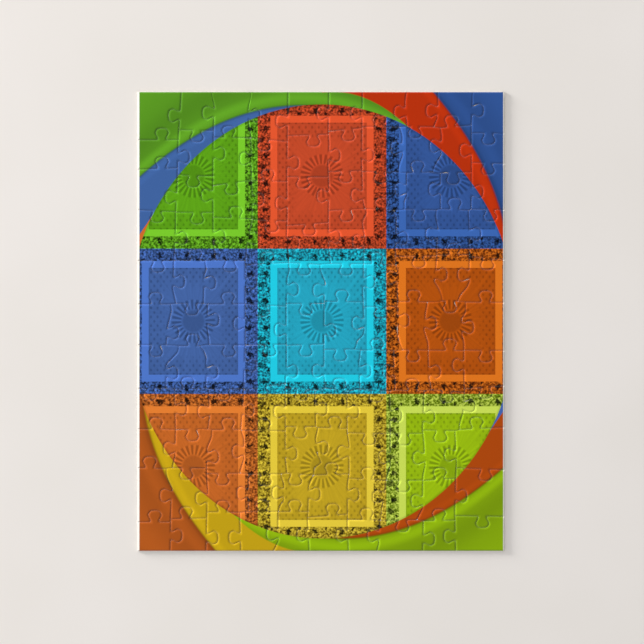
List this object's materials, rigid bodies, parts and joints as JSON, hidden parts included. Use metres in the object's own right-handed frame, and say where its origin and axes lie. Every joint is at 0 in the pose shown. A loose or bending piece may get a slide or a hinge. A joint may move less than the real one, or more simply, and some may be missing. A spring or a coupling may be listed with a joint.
{
  "type": "interlocking jigsaw puzzle",
  "caption": "Assembled rectangular jigsaw puzzle with interlocking knobbed pieces, bright geometric panel print, each loose piece lifts straight out.",
  "frame": {"origin": "centre of the assembled board, on its underside", "axes": "+X to the picture's right, +Y to the picture's top, +Z out of the printed face"},
  "size_m": [0.2032, 0.254, 0.0019],
  "materials": {
    "print_blue": "satin printed paper on greyboard",
    "print_cyan": "satin printed paper on greyboard",
    "print_deep_orange": "satin printed paper on greyboard",
    "print_green": "satin printed paper on greyboard",
    "print_lime": "satin printed paper on greyboard",
    "print_orange": "satin printed paper on greyboard",
    "print_red": "satin printed paper on greyboard",
    "print_violet_blue": "satin printed paper on greyboard",
    "print_yellow": "satin printed paper on greyboard"
  },
  "bodies": {
    "bottom_border_row": {"bottom_border_row": "print_lime"},
    "top_border_row": {"top_border_row": "print_green"},
    "left_border_column": {"left_border_column": "print_violet_blue"},
    "left_inner_column": {"left_inner_column": "print_violet_blue"},
    "right_inner_column": {"right_inner_column": "print_orange"},
    "right_border_column": {"right_border_column": "print_orange"},
    "piece_r02_c03": {"piece_r02_c03": "print_green"},
    "piece_r02_c04": {"piece_r02_c04": "print_red"},
    "piece_r02_c05": {"piece_r02_c05": "print_red"},
    "piece_r02_c06": {"piece_r02_c06": "print_red"},
    "piece_r02_c07": {"piece_r02_c07": "print_red"},
    "piece_r02_c08": {"piece_r02_c08": "print_blue"},
    "piece_r03_c03": {"piece_r03_c03": "print_green"},
    "piece_r03_c04": {"piece_r03_c04": "print_red"},
    "piece_r03_c05": {"piece_r03_c05": "print_red"},
    "piece_r03_c06": {"piece_r03_c06": "print_red"},
    "piece_r03_c07": {"piece_r03_c07": "print_red"},
    "piece_r03_c08": {"piece_r03_c08": "print_blue"},
    "piece_r04_c03": {"piece_r04_c03": "print_green"},
    "piece_r04_c04": {"piece_r04_c04": "print_red"},
    "piece_r04_c05": {"piece_r04_c05": "print_cyan"},
    "piece_r04_c06": {"piece_r04_c06": "print_red"},
    "piece_r04_c07": {"piece_r04_c07": "print_red"},
    "piece_r04_c08": {"piece_r04_c08": "print_blue"},
    "piece_r05_c03": {"piece_r05_c03": "print_violet_blue"},
    "piece_r05_c04": {"piece_r05_c04": "print_cyan"},
    "piece_r05_c05": {"piece_r05_c05": "print_cyan"},
    "piece_r05_c06": {"piece_r05_c06": "print_cyan"},
    "piece_r05_c07": {"piece_r05_c07": "print_cyan"},
    "piece_r05_c08": {"piece_r05_c08": "print_orange"},
    "piece_r06_c03": {"piece_r06_c03": "print_violet_blue"},
    "piece_r06_c04": {"piece_r06_c04": "print_cyan"},
    "piece_r06_c05": {"piece_r06_c05": "print_cyan"},
    "piece_r06_c06": {"piece_r06_c06": "print_cyan"},
    "piece_r06_c07": {"piece_r06_c07": "print_cyan"},
    "piece_r06_c08": {"piece_r06_c08": "print_orange"},
    "piece_r07_c03": {"piece_r07_c03": "print_violet_blue"},
    "piece_r07_c04": {"piece_r07_c04": "print_cyan"},
    "piece_r07_c05": {"piece_r07_c05": "print_cyan"},
    "piece_r07_c06": {"piece_r07_c06": "print_cyan"},
    "piece_r07_c07": {"piece_r07_c07": "print_cyan"},
    "piece_r07_c08": {"piece_r07_c08": "print_orange"},
    "piece_r08_c03": {"piece_r08_c03": "print_deep_orange"},
    "piece_r08_c04": {"piece_r08_c04": "print_yellow"},
    "piece_r08_c05": {"piece_r08_c05": "print_yellow"},
    "piece_r08_c06": {"piece_r08_c06": "print_yellow"},
    "piece_r08_c07": {"piece_r08_c07": "print_yellow"},
    "piece_r08_c08": {"piece_r08_c08": "print_lime"},
    "piece_r09_c03": {"piece_r09_c03": "print_deep_orange"},
    "piece_r09_c04": {"piece_r09_c04": "print_yellow"},
    "piece_r09_c05": {"piece_r09_c05": "print_yellow"},
    "piece_r09_c06": {"piece_r09_c06": "print_yellow"},
    "piece_r09_c07": {"piece_r09_c07": "print_yellow"},
    "piece_r09_c08": {"piece_r09_c08": "print_lime"},
    "piece_r10_c03": {"piece_r10_c03": "print_deep_orange"},
    "piece_r10_c04": {"piece_r10_c04": "print_yellow"},
    "piece_r10_c05": {"piece_r10_c05": "print_yellow"},
    "piece_r10_c06": {"piece_r10_c06": "print_yellow"},
    "piece_r10_c07": {"piece_r10_c07": "print_yellow"},
    "piece_r10_c08": {"piece_r10_c08": "print_lime"}
  },
  "joints": [
    {"name": "top_border_row_lift", "type": "slide", "parent": "bottom_border_row", "child": "top_border_row", "axis": [0, 0, 1], "range_m": [0, 0.01]},
    {"name": "left_border_column_lift", "type": "slide", "parent": "bottom_border_row", "child": "left_border_column", "axis": [0, 0, 1], "range_m": [0, 0.01]},
    {"name": "left_inner_column_lift", "type": "slide", "parent": "bottom_border_row", "child": "left_inner_column", "axis": [0, 0, 1], "range_m": [0, 0.01]},
    {"name": "right_inner_column_lift", "type": "slide", "parent": "bottom_border_row", "child": "right_inner_column", "axis": [0, 0, 1], "range_m": [0, 0.01]},
    {"name": "right_border_column_lift", "type": "slide", "parent": "bottom_border_row", "child": "right_border_column", "axis": [0, 0, 1], "range_m": [0, 0.01]},
    {"name": "piece_r02_c03_lift", "type": "slide", "parent": "bottom_border_row", "child": "piece_r02_c03", "axis": [0, 0, 1], "range_m": [0, 0.02]},
    {"name": "piece_r02_c04_lift", "type": "slide", "parent": "bottom_border_row", "child": "piece_r02_c04", "axis": [0, 0, 1], "range_m": [0, 0.02]},
    {"name": "piece_r02_c05_lift", "type": "slide", "parent": "bottom_border_row", "child": "piece_r02_c05", "axis": [0, 0, 1], "range_m": [0, 0.02]},
    {"name": "piece_r02_c06_lift", "type": "slide", "parent": "bottom_border_row", "child": "piece_r02_c06", "axis": [0, 0, 1], "range_m": [0, 0.02]},
    {"name": "piece_r02_c07_lift", "type": "slide", "parent": "bottom_border_row", "child": "piece_r02_c07", "axis": [0, 0, 1], "range_m": [0, 0.02]},
    {"name": "piece_r02_c08_lift", "type": "slide", "parent": "bottom_border_row", "child": "piece_r02_c08", "axis": [0, 0, 1], "range_m": [0, 0.02]},
    {"name": "piece_r03_c03_lift", "type": "slide", "parent": "bottom_border_row", "child": "piece_r03_c03", "axis": [0, 0, 1], "range_m": [0, 0.02]},
    {"name": "piece_r03_c04_lift", "type": "slide", "parent": "bottom_border_row", "child": "piece_r03_c04", "axis": [0, 0, 1], "range_m": [0, 0.02]},
    {"name": "piece_r03_c05_lift", "type": "slide", "parent": "bottom_border_row", "child": "piece_r03_c05", "axis": [0, 0, 1], "range_m": [0, 0.02]},
    {"name": "piece_r03_c06_lift", "type": "slide", "parent": "bottom_border_row", "child": "piece_r03_c06", "axis": [0, 0, 1], "range_m": [0, 0.02]},
    {"name": "piece_r03_c07_lift", "type": "slide", "parent": "bottom_border_row", "child": "piece_r03_c07", "axis": [0, 0, 1], "range_m": [0, 0.02]},
    {"name": "piece_r03_c08_lift", "type": "slide", "parent": "bottom_border_row", "child": "piece_r03_c08", "axis": [0, 0, 1], "range_m": [0, 0.02]},
    {"name": "piece_r04_c03_lift", "type": "slide", "parent": "bottom_border_row", "child": "piece_r04_c03", "axis": [0, 0, 1], "range_m": [0, 0.02]},
    {"name": "piece_r04_c04_lift", "type": "slide", "parent": "bottom_border_row", "child": "piece_r04_c04", "axis": [0, 0, 1], "range_m": [0, 0.02]},
    {"name": "piece_r04_c05_lift", "type": "slide", "parent": "bottom_border_row", "child": "piece_r04_c05", "axis": [0, 0, 1], "range_m": [0, 0.02]},
    {"name": "piece_r04_c06_lift", "type": "slide", "parent": "bottom_border_row", "child": "piece_r04_c06", "axis": [0, 0, 1], "range_m": [0, 0.02]},
    {"name": "piece_r04_c07_lift", "type": "slide", "parent": "bottom_border_row", "child": "piece_r04_c07", "axis": [0, 0, 1], "range_m": [0, 0.02]},
    {"name": "piece_r04_c08_lift", "type": "slide", "parent": "bottom_border_row", "child": "piece_r04_c08", "axis": [0, 0, 1], "range_m": [0, 0.02]},
    {"name": "piece_r05_c03_lift", "type": "slide", "parent": "bottom_border_row", "child": "piece_r05_c03", "axis": [0, 0, 1], "range_m": [0, 0.02]},
    {"name": "piece_r05_c04_lift", "type": "slide", "parent": "bottom_border_row", "child": "piece_r05_c04", "axis": [0, 0, 1], "range_m": [0, 0.02]},
    {"name": "piece_r05_c05_lift", "type": "slide", "parent": "bottom_border_row", "child": "piece_r05_c05", "axis": [0, 0, 1], "range_m": [0, 0.02]},
    {"name": "piece_r05_c06_lift", "type": "slide", "parent": "bottom_border_row", "child": "piece_r05_c06", "axis": [0, 0, 1], "range_m": [0, 0.02]},
    {"name": "piece_r05_c07_lift", "type": "slide", "parent": "bottom_border_row", "child": "piece_r05_c07", "axis": [0, 0, 1], "range_m": [0, 0.02]},
    {"name": "piece_r05_c08_lift", "type": "slide", "parent": "bottom_border_row", "child": "piece_r05_c08", "axis": [0, 0, 1], "range_m": [0, 0.02]},
    {"name": "piece_r06_c03_lift", "type": "slide", "parent": "bottom_border_row", "child": "piece_r06_c03", "axis": [0, 0, 1], "range_m": [0, 0.02]},
    {"name": "piece_r06_c04_lift", "type": "slide", "parent": "bottom_border_row", "child": "piece_r06_c04", "axis": [0, 0, 1], "range_m": [0, 0.02]},
    {"name": "piece_r06_c05_lift", "type": "slide", "parent": "bottom_border_row", "child": "piece_r06_c05", "axis": [0, 0, 1], "range_m": [0, 0.02]},
    {"name": "piece_r06_c06_lift", "type": "slide", "parent": "bottom_border_row", "child": "piece_r06_c06", "axis": [0, 0, 1], "range_m": [0, 0.02]},
    {"name": "piece_r06_c07_lift", "type": "slide", "parent": "bottom_border_row", "child": "piece_r06_c07", "axis": [0, 0, 1], "range_m": [0, 0.02]},
    {"name": "piece_r06_c08_lift", "type": "slide", "parent": "bottom_border_row", "child": "piece_r06_c08", "axis": [0, 0, 1], "range_m": [0, 0.02]},
    {"name": "piece_r07_c03_lift", "type": "slide", "parent": "bottom_border_row", "child": "piece_r07_c03", "axis": [0, 0, 1], "range_m": [0, 0.02]},
    {"name": "piece_r07_c04_lift", "type": "slide", "parent": "bottom_border_row", "child": "piece_r07_c04", "axis": [0, 0, 1], "range_m": [0, 0.02]},
    {"name": "piece_r07_c05_lift", "type": "slide", "parent": "bottom_border_row", "child": "piece_r07_c05", "axis": [0, 0, 1], "range_m": [0, 0.02]},
    {"name": "piece_r07_c06_lift", "type": "slide", "parent": "bottom_border_row", "child": "piece_r07_c06", "axis": [0, 0, 1], "range_m": [0, 0.02]},
    {"name": "piece_r07_c07_lift", "type": "slide", "parent": "bottom_border_row", "child": "piece_r07_c07", "axis": [0, 0, 1], "range_m": [0, 0.02]},
    {"name": "piece_r07_c08_lift", "type": "slide", "parent": "bottom_border_row", "child": "piece_r07_c08", "axis": [0, 0, 1], "range_m": [0, 0.02]},
    {"name": "piece_r08_c03_lift", "type": "slide", "parent": "bottom_border_row", "child": "piece_r08_c03", "axis": [0, 0, 1], "range_m": [0, 0.02]},
    {"name": "piece_r08_c04_lift", "type": "slide", "parent": "bottom_border_row", "child": "piece_r08_c04", "axis": [0, 0, 1], "range_m": [0, 0.02]},
    {"name": "piece_r08_c05_lift", "type": "slide", "parent": "bottom_border_row", "child": "piece_r08_c05", "axis": [0, 0, 1], "range_m": [0, 0.02]},
    {"name": "piece_r08_c06_lift", "type": "slide", "parent": "bottom_border_row", "child": "piece_r08_c06", "axis": [0, 0, 1], "range_m": [0, 0.02]},
    {"name": "piece_r08_c07_lift", "type": "slide", "parent": "bottom_border_row", "child": "piece_r08_c07", "axis": [0, 0, 1], "range_m": [0, 0.02]},
    {"name": "piece_r08_c08_lift", "type": "slide", "parent": "bottom_border_row", "child": "piece_r08_c08", "axis": [0, 0, 1], "range_m": [0, 0.02]},
    {"name": "piece_r09_c03_lift", "type": "slide", "parent": "bottom_border_row", "child": "piece_r09_c03", "axis": [0, 0, 1], "range_m": [0, 0.02]},
    {"name": "piece_r09_c04_lift", "type": "slide", "parent": "bottom_border_row", "child": "piece_r09_c04", "axis": [0, 0, 1], "range_m": [0, 0.02]},
    {"name": "piece_r09_c05_lift", "type": "slide", "parent": "bottom_border_row", "child": "piece_r09_c05", "axis": [0, 0, 1], "range_m": [0, 0.02]},
    {"name": "piece_r09_c06_lift", "type": "slide", "parent": "bottom_border_row", "child": "piece_r09_c06", "axis": [0, 0, 1], "range_m": [0, 0.02]},
    {"name": "piece_r09_c07_lift", "type": "slide", "parent": "bottom_border_row", "child": "piece_r09_c07", "axis": [0, 0, 1], "range_m": [0, 0.02]},
    {"name": "piece_r09_c08_lift", "type": "slide", "parent": "bottom_border_row", "child": "piece_r09_c08", "axis": [0, 0, 1], "range_m": [0, 0.02]},
    {"name": "piece_r10_c03_lift", "type": "slide", "parent": "bottom_border_row", "child": "piece_r10_c03", "axis": [0, 0, 1], "range_m": [0, 0.02]},
    {"name": "piece_r10_c04_lift", "type": "slide", "parent": "bottom_border_row", "child": "piece_r10_c04", "axis": [0, 0, 1], "range_m": [0, 0.02]},
    {"name": "piece_r10_c05_lift", "type": "slide", "parent": "bottom_border_row", "child": "piece_r10_c05", "axis": [0, 0, 1], "range_m": [0, 0.02]},
    {"name": "piece_r10_c06_lift", "type": "slide", "parent": "bottom_border_row", "child": "piece_r10_c06", "axis": [0, 0, 1], "range_m": [0, 0.02]},
    {"name": "piece_r10_c07_lift", "type": "slide", "parent": "bottom_border_row", "child": "piece_r10_c07", "axis": [0, 0, 1], "range_m": [0, 0.02]},
    {"name": "piece_r10_c08_lift", "type": "slide", "parent": "bottom_border_row", "child": "piece_r10_c08", "axis": [0, 0, 1], "range_m": [0, 0.02]}
  ]
}
